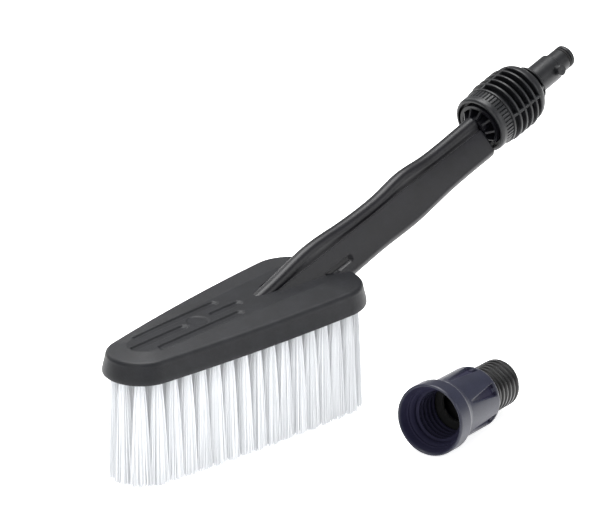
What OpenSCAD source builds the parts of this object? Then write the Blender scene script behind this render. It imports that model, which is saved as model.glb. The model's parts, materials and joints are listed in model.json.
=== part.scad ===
// Water-fed wash brush with a screw-on bayonet connector, and its loose thread adapter.
// Millimetres. The origin is on the floor, under the middle of the head, which stands on its bristle tips.
// +X runs from the head's nose to its rear, where the handle rises; +Z is up.

/* [Head] */
// Length of the head at its top edge
head_len = 192; // [170:1:240]
// Width of the head at its top edge
head_w = 75; // [62:1:92]
// Radius of the rounded nose
nose_r = 21; // [16:0.5:26]
// Radius of the two rear corners
corner_r = 26.5; // [20:0.5:30]
// Radius of the bowed rear end
rear_r = 63; // [56:1:90]
// Radius of the slightly bowed long sides
side_r = 1280; // [800:10:3000]
// Height of the head's side wall, from the rim to the top edge
side_h = 13.6; // [12:0.1:20]
// How far the side wall leans out at the rim
side_lean = 2; // [0.5:0.1:3]
// Radius of the rounded top edge
edge_r = 3; // [1.5:0.1:4]
// Rise of the middle plateau above the top edge
crown_h = 2.3; // [1.5:0.1:5]
// Width of the plateau as a share of the head's width
plateau_share = 0.52; // [0.45:0.01:0.6]
// Wall of the head cover
cover_wall = 2.6; // [2:0.1:3.5]

/* [Bristles] */
// Length of bristle below the head's rim
bristle_len = 65.5; // [40:0.5:90]
// Distance between neighbouring tufts
tuft_pitch = 10.5; // [9.5:0.1:13]
// Radius of a tuft where it leaves the plate
tuft_root_r = 2.5; // [1.8:0.1:2.8]
// Radius of a tuft at its tips
tuft_tip_r = 4.3; // [3.5:0.1:4.6]
// Distance from the top edge's outline in to the outer row of tufts
tuft_inset = 5.6; // [5.4:0.1:8]
// Thickness of the bristle plate
plate_t = 5; // [4.5:0.1:7]
// How far the plate lies inside the rim
plate_recess = 1; // [0.5:0.1:2]
// Number of screws that hold the plate
screw_count = 3; // [2:1:3]

/* [Handle] */
// Distance from the end of the handle's shells to the rim of its threaded end
casing_gap = 4.5; // [2:0.1:7]
// Angle between the handle and the floor
handle_angle = 15; // [8:0.5:25]
// Distance along the handle from its foot over the head to its end
handle_len = 164.5; // [140:0.5:220]
// Place of the handle's foot along the head
foot_x = 70; // [60:1:80]
// Height of the handle's axis above the head's top edge, at the foot
foot_rise = 6.5; // [4:0.5:10]
// Half of the handle's width at its narrowest
grip_half_w = 14.9; // [13:0.1:17]
// Depth of the handle below its axis at its narrowest
grip_depth = 16.7; // [15:0.1:19]
// Radius of the handle's lower corners
grip_corner_r = 7; // [5:0.5:9]
// Radius of the spine along the top of the handle
spine_r = 4.6; // [4:0.1:5.2]
// Height of the spine above the axis at its lowest
spine_h = 9; // [8:0.1:11]
// Distance of the ridge line from the middle of the handle
ridge_y = 6.6; // [6:0.1:8]
// Wall of the handle shells
handle_wall = 2.4; // [1.8:0.1:3]

/* [Water way] */
// Outer radius of the tube in the handle
tube_r = 4; // [3.5:0.1:4.5]
// Distance of the tube below the middle of the connector
tube_drop = 5; // [4:0.1:6]
// Wall of the tube
tube_wall = 1; // [0.8:0.1:1.5]
// Radius of the rubber cord of the small O-rings
o_ring_r = 0.9; // [0.7:0.1:1.1]

/* [Connector] */
// Outer radius of the threaded end of the handle
thread_r = 14.35; // [12:0.05:16]
// Pitch of the connector's thread
thread_pitch = 3; // [2:0.1:4]
// Length of the threaded end beyond the handle
thread_len = 12; // [10:0.5:16]
// Outer radius of the knurled rim
knurl_r = 18.8; // [18:0.1:21]
// Number of grooves round the knurled rim
knurl_count = 48; // [36:2:60]
// Outer radius of the grip rings
ring_r = 20.3; // [19.5:0.1:24]
// Distance between neighbouring grip rings
ring_pitch = 5.4; // [4.5:0.1:7]
// Number of grip rings
ring_count = 5; // [3:1:7]
// Thickness of the grip rings and ribs
ring_t = 1.6; // [1.2:0.1:2.2]
// Radius of the spigot behind its shoulder
spigot_r = 8.9; // [8:0.1:10]
// Radius of the spigot's tip
tip_r = 7.4; // [6.5:0.1:8]
// Length of the spigot from the grip to the shoulder
spigot_len = 22; // [16:0.5:35]
// Length of the tip beyond the shoulder
tip_len = 14.6; // [12:0.1:20]
// Radius of the two bayonet lugs
lug_r = 3.5; // [2.5:0.1:4]
// Distance from the axis to the end of a lug
lug_reach = 12.2; // [11:0.1:13]
// Radius of the water way through the connector
bore_r = 3.5; // [2.5:0.1:4]
// Angle that the connector is turned to when it is tight
connector_clock = -14.4; // [-45:0.1:45]

/* [Adapter] */
// Outer radius of the adapter's flange
flange_r = 22; // [21.8:0.1:26]
// Outer radius of the adapter's grip
bell_r = 19; // [18.5:0.1:21]
// Length of the adapter's bell
bell_len = 53; // [46:0.5:70]
// Pitch of the adapter's threads
adapter_pitch = 4.2; // [3.6:0.1:5]
// Crest radius of the inside thread
inner_thread_r = 14.6; // [13:0.1:14.9]
// Crest radius of the outside thread
outer_thread_r = 14.7; // [12.5:0.1:16]
// Number of crests on the outside thread
crest_count = 7; // [5:1:9]
// Number of crests in the inside thread
inner_crest_count = 5; // [4:1:6]
// Place of the adapter's flange along the head
adapter_x = 63; // [50:1:140]
// Distance from the middle of the head to the adapter's flange
adapter_y = 107.5; // [80:1:140]
// Direction that the adapter points in, from the head's length
adapter_turn = 9; // [-20:1:20]

/* [Fit] */
// Radial gap between pieces that turn in each other
running_gap = 0.05; // [0.02:0.01:0.09]
// Gap between pieces that only lie side by side
seat_gap = 0.3; // [0.2:0.05:0.5]

/* [Hidden] */
$fn = 64;
eps = 0.01;

// Heights in the head
rim_z = bristle_len;
top_z = rim_z + side_h;
crown_z = top_z + crown_h;
plate_z = rim_z + plate_recess;
plate_top_z = plate_z + plate_t;
gasket_t = 0.8;
ledge_z = plate_top_z + gasket_t;
roof_z = top_z - cover_wall;

// Offsets from the head's top outline
cavity_off = 1 - cover_wall;
plate_off = cavity_off - seat_gap;
chamber_off = plate_off - 3.4;

// The outline is four tangent arcs on each side: nose, side, rear corner and rear end
nose_c = [nose_r - head_len / 2, 0];
rear_c = [head_len / 2 - rear_r, 0];
corner_y = head_w / 2 - corner_r;
corner_c = [rear_c[0] + sqrt(pow(rear_r - corner_r, 2) - pow(corner_y, 2)), corner_y];
nose_to_corner = corner_c - nose_c;
centre_gap = norm(nose_to_corner);
side_along = (pow(side_r - nose_r, 2) - pow(side_r - corner_r, 2) + pow(centre_gap, 2)) / (2 * centre_gap);
side_across = sqrt(pow(side_r - nose_r, 2) - pow(side_along, 2));
side_c = nose_c + side_along * nose_to_corner / centre_gap
    + side_across * [nose_to_corner[1], -nose_to_corner[0]] / centre_gap;
nose_side_a = atan2(nose_c[1] - side_c[1], nose_c[0] - side_c[0]);
side_corner_a = atan2(corner_c[1] - side_c[1], corner_c[0] - side_c[0]);
corner_rear_a = atan2(corner_c[1] - rear_c[1], corner_c[0] - rear_c[0]);
// Each arc: centre, radius, first and last direction, steps
OUTLINE = [
    [nose_c, nose_r, 180, nose_side_a, 9],
    [side_c, side_r, nose_side_a, side_corner_a, 7],
    [corner_c, corner_r, side_corner_a, corner_rear_a, 6],
    [rear_c, rear_r, corner_rear_a, 0, 4]
];

function on_circle(c, r, a) = c + r * [cos(a), sin(a)];

// Half outline from the nose to the rear, grown by off
function half_outline(off) = [
    for (arc = OUTLINE, i = [0 : arc[4] - 1])
        on_circle(arc[0], arc[1] + off, arc[2] + (arc[3] - arc[2]) * i / arc[4]),
    rear_c + [rear_r + off, 0]
];

// Whole outline, anticlockwise from the rear
function head_outline(off) = let (half = half_outline(off), last = len(half) - 1) concat(
    [for (i = [last : -1 : 0]) half[i]],
    [for (i = [1 : last - 1]) [half[i][0], -half[i][1]]]
);

function arc_length(arc, off) = (arc[1] + off) * (arc[2] - arc[3]) * PI / 180;

// Point at a distance along the half outline from the nose
function along_outline(d, off, k = 0) =
    let (arc = OUTLINE[k], size = arc_length(arc, off))
    d <= size || k == 3
        ? on_circle(arc[0], arc[1] + off, arc[2] - min(d / size, 1) * (arc[2] - arc[3]))
        : along_outline(d - size, off, k + 1);

// Half width of the outline at x, grown by off
function half_width(x, off) =
    let (
        nose_end = on_circle(nose_c, nose_r + off, nose_side_a)[0],
        side_end = on_circle(corner_c, corner_r + off, side_corner_a)[0],
        corner_end = on_circle(corner_c, corner_r + off, corner_rear_a)[0],
        k = x < nose_end ? 0 : x < side_end ? 1 : x < corner_end ? 2 : 3,
        arc = OUTLINE[k]
    )
    arc[0][1] + sqrt(max(pow(arc[1] + off, 2) - pow(x - arc[0][0], 2), 0));

// Places of the tufts
row_off = -tuft_inset;
half_row = arc_length(OUTLINE[0], row_off) + arc_length(OUTLINE[1], row_off)
    + arc_length(OUTLINE[2], row_off) + arc_length(OUTLINE[3], row_off);
half_count = round(half_row / tuft_pitch);
outer_tufts = concat(
    [for (i = [0 : half_count]) along_outline(half_row * i / half_count, row_off)],
    [for (i = [1 : half_count - 1]) let (p = along_outline(half_row * i / half_count, row_off)) [p[0], -p[1]]]
);
row_gap = 0.88 * tuft_pitch;
second_off = row_off - row_gap;
second_row = arc_length(OUTLINE[0], second_off) + arc_length(OUTLINE[1], second_off)
    + arc_length(OUTLINE[2], second_off) + arc_length(OUTLINE[3], second_off);
second_count = round(second_row / tuft_pitch);
second_tufts = concat(
    [for (i = [0 : second_count]) along_outline(second_row * i / second_count, second_off)],
    [for (i = [1 : second_count - 1])
        let (p = along_outline(second_row * i / second_count, second_off)) [p[0], -p[1]]]
);
inner_off = second_off - row_gap;
row_reach = ceil(head_w / 2 / row_gap);
screws = [for (i = [0 : screw_count - 1]) [tuft_pitch * (4 * i - 5), 0]];
screw_r = 1.5;
screw_head_r = 3.2;
screw_head_h = 2.4;
screw_clear = screw_head_r + tuft_root_r + 1.6;
function clear_of(p, places, gap) = min([for (s = places) norm(s - p)]) > gap;
function tuft_row(k) = let (y = k * row_gap, count = ceil(head_len / 2 / tuft_pitch)) [
    for (i = [-count : count])
        let (x = (i + (k % 2 == 0 ? 0 : 0.5)) * tuft_pitch)
        if (x > nose_c[0] && x < rear_c[0] + rear_r + inner_off && half_width(x, inner_off) > abs(y)
            && clear_of([x, y], screws, screw_clear)
            && clear_of([x, y], second_tufts, 2 * tuft_tip_r + 0.1)) [x, y]
];
inner_tufts = [for (k = [-row_reach : row_reach]) each tuft_row(k)];
tuft_hole_r = tuft_root_r + 0.1;
tuft_hole_depth = plate_t - 1.2;
tuft_top_z = plate_z + tuft_hole_depth;
outlets = [for (i = [-2 : 2], side = [1, -1]) [i * 3 * tuft_pitch, side * row_gap * 2 / 3]];
outlet_r = 0.9;

// Handle: distances run along its axis from the foot
axis_z = top_z + foot_rise;
function smooth(t) = let (c = min(max(t, 0), 1)) c * c * (3 - 2 * c);
function bump(t) = exp(-t * t);
function spine_top(s) = spine_h + 2.7 * bump((s - 90) / 17) + 3.6 * bump((s - 3) / 29)
    + 0.7 * smooth((s - 120) / 45) + 0.02 * min(s, 0);
function depth(s) = grip_depth + 2.3 * bump((s - 86) / 27) + 3.4 * (1 - smooth(s / 110));
function half_w(s) = grip_half_w + 0.5 * bump((s - 86) / 27) + 0.5 * (1 - smooth(s / 110));
function ridge_h(s) = 4.8 - 2.3 * s / handle_len + 0.8 * bump((s - 88) / 22);
handle_start = -58;
handle_steps = 24;
casing_end = handle_len - casing_gap;
stations = [for (i = [0 : handle_steps]) handle_start + (casing_end - handle_start) * i / handle_steps];

// Half sections of the handle, from the lowest point or the ridge upwards: across, then up
function lower_half(s, w) = concat(
    [for (i = [0 : 5]) [half_w(s) - grip_corner_r, grip_corner_r - depth(s)]
        + (grip_corner_r - w) * [cos(-90 + 18 * i), sin(-90 + 18 * i)]],
    [[ridge_y - 0.8 * w, ridge_h(s) - 1.4 * w]]
);
function upper_half(s, w) = concat(
    [[ridge_y - 0.8 * w, ridge_h(s) - 1.4 * w], [ridge_y - 1 - 0.6 * w, ridge_h(s) - 1.2 - w / 2]],
    [for (i = [0 : 4]) [0, spine_top(s) - spine_r] + (spine_r - w) * [cos(22.5 * i), sin(22.5 * i)]]
);
function mirrored(half) = [
    for (i = [len(half) - 1 : -1 : 0]) if (half[i][0] > eps) [-half[i][0], half[i][1]]
];
function lower_path(s, w) = concat(mirrored(lower_half(s, w)), lower_half(s, w));
function upper_path(s, w) = concat(upper_half(s, w), mirrored(upper_half(s, w)));
// A section point on the handle's axis frame, as a point in space
function in_space(s, p) = [
    foot_x + s * cos(handle_angle) - p[1] * sin(handle_angle), p[0],
    axis_z + s * sin(handle_angle) + p[1] * cos(handle_angle)
];

// Connector: distances run along the axis from the handle's end
knurl_start = 0.6;
counterbore_len = 4;
counterbore_r = 16.3;
first_ring = thread_len - 0.5;
washer_t = 1.4;
spigot_base = thread_len + washer_t + 2 * running_gap;
spigot_flange_t = 3.5;
spigot_flange_r = 13;
band_start = first_ring + ring_count * ring_pitch;
band_len = 7;
nose_ring_e = band_start + band_len + 4.6;
nose_ring_r = 12.9;
shoulder_e = nose_ring_e + ring_t + spigot_len;
tip_e = shoulder_e + tip_len;
lug_e = shoulder_e - lug_r - 0.2;
groove_e = tip_e - 5.6;
groove_len = 2.4;
groove_r = tip_r - 2 * o_ring_r;
sleeve_r = spigot_r + 2.2;
sleeve_bore_r = spigot_r + seat_gap / 2;

// Adapter: distances run along its axis from its mouth
flange_len = 13;
mouth_r = 20.2;
step_r = 17.6;
inner_root_r = inner_thread_r + 1.5;
inner_thread_start = 10;
end_wall = 5.5;
neck_r = 12;
collar_t = 3;
collar_r = inner_root_r - 0.6;
wall_e = bell_len - end_wall;
swivel_seal_t = 1.5;
nipple_bore_r = 10;
outer_root_r = outer_thread_r - 1.5;
nipple_end = bell_len + crest_count * adapter_pitch + 0.8;
recess_count = 6;
adapter_tilt = atan((flange_r - bell_r) / (bell_len - 3.5 - flange_len + 2));

// Places and turns
module on_handle(s) {
    translate([foot_x + s * cos(handle_angle), 0, axis_z + s * sin(handle_angle)])
        rotate([0, 90 - handle_angle, 0]) children();
}
module on_tube(s) {
    on_handle(s) translate([tube_drop, 0, 0]) children();
}
module on_connector() {
    on_handle(handle_len) rotate([0, 0, connector_clock]) children();
}
module on_adapter() {
    translate([adapter_x, -adapter_y, 0]) rotate([0, adapter_tilt, adapter_turn])
        translate([-(flange_len - 2), 0, flange_r]) rotate([0, 90, 0]) children();
}

// A closed surface through rings that each hold the same number of points
module loft(rings, cap_bottom, cap_top) {
    n = len(rings[0]);
    polyhedron(
        points = [for (ring = rings) each ring],
        faces = concat(
            cap_bottom,
            [for (i = [0 : len(rings) - 2], j = [0 : n - 1]) let (k = (j + 1) % n)
                each [
                    [i * n + j, (i + 1) * n + j, (i + 1) * n + k],
                    [i * n + j, (i + 1) * n + k, i * n + k]
                ]],
            [for (face = cap_top) [for (v = face) v + (len(rings) - 1) * n]]
        )
    );
}
function fan(n) = [[for (i = [0 : n - 1]) i]];
function turned(faces) = [for (face = faces) [for (i = [len(face) - 1 : -1 : 0]) face[i]]];

// Strip of triangles that closes the end of a channel whose ring is an outer path and then an inner one
function strip(n) = [for (i = [0 : n / 2 - 2]) each [[i, i + 1, n - 2 - i], [i, n - 2 - i, n - 1 - i]]];

// A channel along the handle between an outer and an inner path
module channel(outer, inner) {
    n = 2 * len(outer[0]);
    rings = [for (i = [0 : handle_steps])
        [for (p = concat(outer[i], [for (j = [n / 2 - 1 : -1 : 0]) inner[i][j]]))
            in_space(stations[i], p)]];
    loft(rings, strip(n), turned(strip(n)));
}

// Full shape of the head, which the handle's shells end on
function head_ring(off, z) = [for (p = head_outline(off)) [p[0], p[1], z]];
function crown_ring(share, z) = [
    for (p = head_outline(-edge_r)) [p[0] * plateau_len_share, p[1] * share, z]
];
plateau_len_share = 0.93;
module head_shape() {
    rings = concat(
        [head_ring(side_lean - 0.6, rim_z), head_ring(side_lean, rim_z + 0.6)],
        [head_ring(side_lean, rim_z + 2)],
        [for (i = [0 : 4])
            head_ring(edge_r * (cos(22.5 * i) - 1), top_z - edge_r + edge_r * sin(22.5 * i))],
        [crown_ring(plateau_share, crown_z)]
    );
    n = len(rings[0]);
    loft(rings, fan(n), turned(fan(n)));
}

module slab(off, z0, z1) {
    translate([0, 0, z0]) linear_extrude(z1 - z0) polygon(head_outline(off));
}

// Shallow round-ended recess in the head's top
recess_w = 5;
recess_depth = 1.1;
module top_recess(x0, x1, y) {
    translate([0, y, crown_z - recess_depth]) linear_extrude(2 * recess_depth) union() {
        translate([x0 + recess_w / 2, -recess_w / 2]) square([x1 - x0 - recess_w, recess_w]);
        translate([x0 + recess_w / 2, 0]) circle(recess_w / 2);
        translate([x1 - recess_w / 2, 0]) circle(recess_w / 2);
    }
}
// The recesses' places as shares of the head's length, and their distance from its middle
recess_y = head_w * 0.138;
module top_recesses() {
    for (side = [-1, 1]) top_recess(-head_len * 0.365, 0, side * recess_y);
    top_recess(-head_len * 0.43, -head_len * 0.19, 0);
    top_recess(-head_len * 0.08, head_len * 0.055, 0);
    translate([-head_len * 0.14, 0, crown_z - recess_depth / 2]) cylinder(r = 6.5, h = recess_depth);
}

inlet_boss_r = tube_r + 2.1;
inlet_end = 8;
seal_s = 3;
gland_r = tube_r + 2 * o_ring_r - 0.3;
tube_start = -14;
boss_start = -25;
boss_r = 3.6;
module head_cover() {
    color("dimgray") difference() {
        union() {
            difference() {
                head_shape();
                slab(cavity_off, rim_z - 1, ledge_z);
                slab(chamber_off, ledge_z - eps, roof_z);
            }
            for (p = screws) translate([p[0], p[1], plate_top_z])
                cylinder(r = boss_r, h = top_z - plate_top_z);
            intersection() {
                on_tube(boss_start) cylinder(r = inlet_boss_r, h = inlet_end - boss_start);
                translate([-head_len, -head_w, ledge_z + 1]) cube([2 * head_len, 2 * head_w, 100]);
            }
        }
        top_recesses();
        for (p = screws) translate([p[0], p[1], plate_top_z - eps])
            cylinder(r = screw_r + running_gap, h = top_z + 0.5 - plate_top_z);
        on_tube(tube_start) cylinder(r = tube_r + running_gap, h = inlet_end + 14 - tube_start);
        on_tube(boss_start - 1) cylinder(r = tube_r - tube_wall, h = tube_start + 2 - boss_start);
        on_tube(seal_s) cylinder(r = gland_r, h = 2 * o_ring_r + 0.2);
    }
}

// Slot between the handle's side and the head, on both sides
slot_s = 14;
module drain_slots() {
    on_handle(slot_s) translate([4.4, -30, -11]) cube([3.2, 60, 22]);
}

// First child less the others, worked out as one faceted body
module trimmed() {
    resize([0, 0, 0]) difference() {
        children(0);
        children([1 : $children - 1]);
    }
}

module handle_top_shell() {
    color("dimgray") trimmed() {
        channel([for (s = stations) upper_path(s, 0)], [for (s = stations) upper_path(s, handle_wall)]);
        head_shape();
    }
}

module handle_bottom_shell() {
    color("dimgray") trimmed() {
        channel([for (s = stations) lower_path(s, 0)], [for (s = stations) lower_path(s, handle_wall)]);
        head_shape();
        translate([-head_len, -head_w, 0]) cube([head_len + foot_x + 14, 2 * head_w, top_z - 4]);
        drain_slots();
    }
}

// Hub, finned cup and threaded end that close the handle
hub_r = 7.4;
cup_wall = 2;
fin_t = 1.3;
fin_count = 10;
end_plate_t = 4;
end_plate_e = -casing_gap - end_plate_t;
hub_e = seat_gap - casing_gap;
cup_depth = thread_len - 4;
tube_socket = 10;
plate_inset = handle_wall + seat_gap;
end_inside = concat(lower_path(casing_end, plate_inset), upper_path(casing_end, plate_inset));
module handle_coupler() {
    color("dimgray") on_handle(handle_len) difference() {
        union() {
            translate([0, 0, end_plate_e]) linear_extrude(end_plate_t + 2 * seat_gap)
                polygon([for (p = end_inside) [-p[1], p[0]]]);
            translate([tube_drop, 0, end_plate_e - tube_socket])
                cylinder(r = tube_r + 1.6, h = tube_socket + 1);
            translate([0, 0, hub_e]) cylinder(r = hub_r, h = thread_len - hub_e);
            difference() {
                cylinder(r = thread_r, h = thread_len);
                translate([0, 0, -1]) cylinder(r = thread_r - cup_wall, h = cup_depth + 1);
            }
            for (i = [0 : fin_count - 1]) rotate([0, 0, 360 / fin_count * (i + 0.5)])
                translate([0, fin_t / 2, 0]) rotate([90, 0, 0]) linear_extrude(fin_t) polygon([
                    [hub_r - 1, hub_e], [hub_r + 1.2, hub_e], [thread_r - cup_wall / 2, 0.6],
                    [thread_r - cup_wall / 2, cup_depth + eps], [hub_r - 1, cup_depth + eps]
                ]);
        }
        translate([0, 0, end_plate_e + 2]) cylinder(r = bore_r, h = thread_len - end_plate_e);
        translate([0, -tube_r + tube_wall, end_plate_e + 2])
            cube([tube_drop, 2 * (tube_r - tube_wall), 1.5]);
        translate([tube_drop, 0, end_plate_e - 1]) cylinder(r = tube_r - tube_wall, h = 4.5);
        translate([tube_drop, 0, end_plate_e - tube_socket - 1])
            cylinder(r = tube_r + running_gap, h = tube_socket + 1);
    }
}

tube_end = handle_len + end_plate_e;
module water_tube() {
    color("gainsboro") on_tube(tube_start) difference() {
        cylinder(r = tube_r, h = tube_end - tube_start);
        translate([0, 0, -1]) cylinder(r = tube_r - tube_wall, h = tube_end - tube_start + 2);
    }
}

module o_ring(inner, cord) {
    rotate_extrude() translate([inner + cord, 0]) circle(cord, $fn = 32);
}
module tube_seal_upper() {
    color("black") on_tube(tube_end - tube_socket - o_ring_r - 0.1)
        o_ring(tube_r + running_gap, o_ring_r);
}
module tube_seal_lower() {
    color("black") on_tube(seal_s + o_ring_r + 0.1) o_ring(tube_r + running_gap, o_ring_r - 0.2);
}

module bristle_plate() {
    color("dimgray") difference() {
        slab(plate_off, plate_z, plate_top_z);
        for (p = concat(outer_tufts, second_tufts, inner_tufts))
            translate([p[0], p[1], plate_z - 1]) cylinder(r = tuft_hole_r, h = tuft_hole_depth + 1);
        for (p = screws) translate([p[0], p[1], plate_z - 1]) {
            cylinder(r = screw_r + 0.2, h = plate_t + 2);
            cylinder(r = screw_head_r + 0.2, h = screw_head_h + 1);
        }
        for (p = outlets) translate([p[0], p[1], plate_z - 1]) cylinder(r = outlet_r, h = plate_t + 2);
    }
}

module plate_gasket() {
    color("black") difference() {
        slab(plate_off, plate_top_z, ledge_z);
        slab(chamber_off, plate_top_z - 1, ledge_z + 1);
    }
}

screw_len = top_z - 0.5 - plate_z - screw_head_h;
module plate_screws() {
    color("silver") for (p = screws) translate([p[0], p[1], plate_z]) {
        difference() {
            cylinder(r = screw_head_r, h = screw_head_h);
            for (a = [0, 90]) rotate([0, 0, a]) translate([-2, -0.4, -1]) cube([4, 0.8, 2]);
        }
        translate([0, 0, screw_head_h - eps]) cylinder(r = screw_r, h = screw_len);
    }
}

// One tuft: a round root in its hole and a bundle that spreads to its tips on the floor
module tuft(p) {
    translate([p[0], p[1], 0]) {
        cylinder(r1 = tuft_tip_r, r2 = tuft_root_r, h = plate_z);
        translate([0, 0, plate_z - eps]) cylinder(r = tuft_root_r, h = tuft_hole_depth - 1 + eps);
    }
}
module tufts_outer_row() {
    color("white") for (p = outer_tufts) tuft(p);
}
module tufts_second_row() {
    color("white") for (p = second_tufts) tuft(p);
}
module tufts_inner_rows() {
    color("white") for (p = inner_tufts) tuft(p);
}
module tuft_anchors() {
    color("silver") for (p = concat(outer_tufts, second_tufts, inner_tufts))
        translate([p[0], p[1], tuft_top_z - 0.6]) cube([3.6, 0.5, 0.8], center = true);
}

module seal_washer() {
    color("black") on_handle(handle_len + thread_len + running_gap) difference() {
        cylinder(r = 9, h = washer_t);
        translate([0, 0, -1]) cylinder(r = bore_r + 0.5, h = washer_t + 2);
    }
}

module bayonet_spigot() {
    color("dimgray") on_connector() difference() {
        union() {
            translate([0, 0, spigot_base]) cylinder(r = spigot_flange_r, h = spigot_flange_t);
            translate([0, 0, spigot_base]) cylinder(r = spigot_r, h = shoulder_e - spigot_base - 1);
            translate([0, 0, shoulder_e - 1 - eps]) cylinder(r1 = spigot_r, r2 = tip_r, h = 1 + eps);
            translate([0, 0, shoulder_e - eps]) cylinder(r = tip_r, h = tip_len - 1 + eps);
            translate([0, 0, tip_e - 1 - eps]) cylinder(r1 = tip_r, r2 = tip_r - 1, h = 1 + eps);
            translate([0, 0, lug_e]) rotate([90, 0, 0])
                cylinder(r = lug_r, h = 2 * lug_reach, center = true);
        }
        translate([0, 0, spigot_base - 1]) cylinder(r = bore_r, h = tip_e);
        translate([0, 0, groove_e]) difference() {
            cylinder(r = tip_r + 1, h = groove_len);
            translate([0, 0, -1]) cylinder(r = groove_r, h = groove_len + 2);
        }
    }
}

module spigot_o_ring() {
    color("black") on_connector() translate([0, 0, groove_e + groove_len / 2]) o_ring(groove_r, o_ring_r);
}

// Grip with its knurled rim, rings and four ribs
knurl_len = 6;
module grip_cage() {
    color("dimgray") on_connector() difference() {
        union() {
            rotate_extrude() polygon([
                [counterbore_r, knurl_start], [knurl_r - 1.4, knurl_start], [knurl_r - 0.4, knurl_start + 0.6],
                [knurl_r, knurl_start + 1.8], [knurl_r, first_ring], [thread_r + running_gap, first_ring],
                [thread_r + running_gap, knurl_start + counterbore_len],
                [counterbore_r, knurl_start + counterbore_len]
            ]);
            rotate_extrude() polygon([
                [thread_r + running_gap, first_ring - eps], [thread_r + 2, first_ring - eps],
                [thread_r + 2, spigot_base + spigot_flange_t + 2],
                [sleeve_r, spigot_base + spigot_flange_t + 2],
                [sleeve_r, nose_ring_e], [sleeve_bore_r, nose_ring_e],
                [sleeve_bore_r, spigot_base + spigot_flange_t],
                [thread_r + running_gap, spigot_base + spigot_flange_t]
            ]);
            for (i = [0 : ring_count - 1]) translate([0, 0, first_ring + i * ring_pitch]) difference() {
                cylinder(r = ring_r - (i == 0 ? 0.8 : 0), h = ring_t);
                translate([0, 0, -1]) cylinder(r = i < 2 ? thread_r + 1.5 : sleeve_r - 1, h = ring_t + 2);
            }
            rotate_extrude() polygon([
                [sleeve_r - 1, band_start], [ring_r - 0.8, band_start], [ring_r - 1.2, band_start + 2.5],
                [ring_r - 3.8, band_start + band_len], [ring_r - 5.5, band_start + band_len],
                [sleeve_r - 1, band_start + 2]
            ]);
            rotate_extrude() polygon([
                [sleeve_bore_r, nose_ring_e - eps], [nose_ring_r, nose_ring_e - eps],
                [nose_ring_r - 0.4, nose_ring_e + ring_t], [sleeve_bore_r, nose_ring_e + ring_t]
            ]);
            for (a = [0 : 90 : 270]) rotate([0, 0, a]) {
                translate([thread_r + 1.5, -ring_t / 2, first_ring])
                    cube([ring_r - 0.9 - thread_r - 1.5, ring_t, ring_pitch]);
                translate([sleeve_r - 1, -ring_t / 2, first_ring + ring_pitch])
                    cube([ring_r - 0.3 - sleeve_r + 1, ring_t, band_start + 2 - first_ring - ring_pitch]);
                translate([0, ring_t / 2, 0]) rotate([90, 0, 0]) linear_extrude(ring_t) polygon([
                    [sleeve_r - 1, band_start], [ring_r - 1.3, band_start + 2.4],
                    [ring_r - 4, band_start + band_len - 0.1],
                    [nose_ring_r - 0.3, nose_ring_e + 0.2], [sleeve_r - 1, nose_ring_e + 0.2]
                ]);
            }
        }
        for (i = [0 : knurl_count - 1]) rotate([0, 0, 360 / knurl_count * i])
            translate([knurl_r + 0.25, 0, first_ring - knurl_len])
                cylinder(r = 0.75, h = knurl_len - 0.3, $fn = 24);
    }
}

// Ring-shaped thread crests along an axis: inside ones point inwards
module crests(count, start, crest, root) {
    rotate_extrude() union() for (i = [0 : count - 1]) {
        e = start + i * adapter_pitch;
        polygon([[root, e], [crest, e + 1.2], [crest, e + 1.9], [root, e + 3.1]]);
    }
}

module adapter_nipple() {
    color("black") on_adapter() difference() {
        union() {
            translate([0, 0, wall_e - collar_t - running_gap]) cylinder(r = collar_r, h = collar_t);
            translate([0, 0, wall_e - collar_t - running_gap])
                cylinder(r = neck_r, h = end_wall + collar_t + 0.5);
            translate([0, 0, bell_len + 0.3]) cylinder(r = outer_root_r, h = nipple_end - bell_len - 0.3);
            crests(crest_count, bell_len + 0.4, outer_thread_r, outer_root_r - 0.2);
        }
        translate([0, 0, wall_e - collar_t - 1]) cylinder(r = nipple_bore_r, h = nipple_end);
    }
}

module adapter_swivel_seal() {
    swivel_seal_e = wall_e - collar_t - running_gap - swivel_seal_t;
    color("black") on_adapter() translate([0, 0, swivel_seal_e]) difference() {
        cylinder(r = collar_r - 0.4, h = swivel_seal_t);
        translate([0, 0, -1]) cylinder(r = nipple_bore_r, h = swivel_seal_t + 2);
    }
}

// Grip recess that widens towards the threaded end
module grip_recess() {
    translate([bell_r - 1.5, 0, 0]) rotate([90, 0, 90]) linear_extrude(4)
        polygon([
            [-0.8, flange_len + 8], [0.8, flange_len + 8], [3.8, bell_len - 5.5], [-3.8, bell_len - 5.5]
        ]);
}
module adapter_bell() {
    color("midnightblue") on_adapter() difference() {
        union() {
            rotate_extrude() polygon([
                [mouth_r, 0.4], [mouth_r + 0.6, 0], [flange_r - 0.9, 0], [flange_r - 0.3, 0.6], [flange_r, 2],
                [flange_r, flange_len - 2], [flange_r - 1.2, flange_len],
                [bell_r + 0.5, flange_len + 2], [bell_r, flange_len + 5],
                [bell_r, bell_len - 3.5], [bell_r - 2.6, bell_len], [neck_r + running_gap, bell_len],
                [neck_r + running_gap, wall_e], [inner_root_r, wall_e], [inner_root_r, inner_thread_start],
                [step_r, inner_thread_start - 2.5], [step_r + 0.6, 6]
            ]);
            crests(inner_crest_count, inner_thread_start, inner_thread_r, inner_root_r + 0.2);
        }
        for (i = [0 : recess_count - 1]) rotate([0, 0, 360 / recess_count * i]) grip_recess();
    }
}

module adapter_seat_seal() {
    color("black") on_adapter()
        translate([0, 0, inner_thread_start + inner_crest_count * adapter_pitch + 1]) difference() {
        cylinder(r = inner_root_r - eps, h = 2);
        translate([0, 0, -1]) cylinder(r = nipple_bore_r, h = 4);
    }
}

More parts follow.
